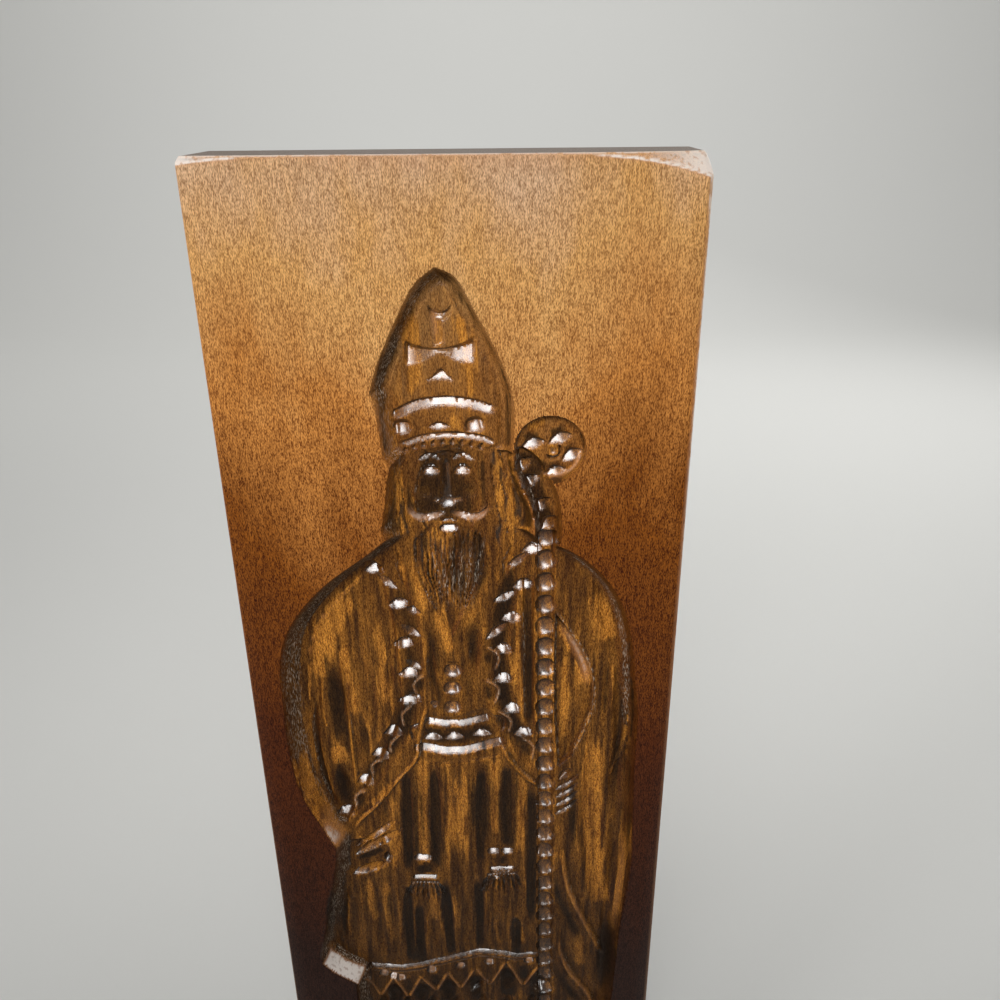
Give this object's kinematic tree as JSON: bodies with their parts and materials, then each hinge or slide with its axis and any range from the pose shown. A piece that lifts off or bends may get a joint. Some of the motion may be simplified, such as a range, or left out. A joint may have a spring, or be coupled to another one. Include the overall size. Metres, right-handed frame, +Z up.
{
  "type": "cookie mould",
  "caption": "Upright wooden cookie mould: a solid plank with a hollow-carved robed bishop figure and staff, for pressing relief biscuits.",
  "frame": {"origin": "centre of the bottom end of the board, on the surface that it stands on", "axes": "+Z up along the length of the board, +Y out of the plain back, so the carved face looks towards -Y, +X to the right as seen from the carved face"},
  "size_m": [0.102, 0.02, 0.287],
  "materials": {
    "stained_beech": "hand-stained brown beech under a satin-gloss clear varnish, darker in the cuts and rubbed pale on the edges"
  },
  "bodies": {
    "root": {"mould_board": "stained_beech"}
  },
  "joints": []
}
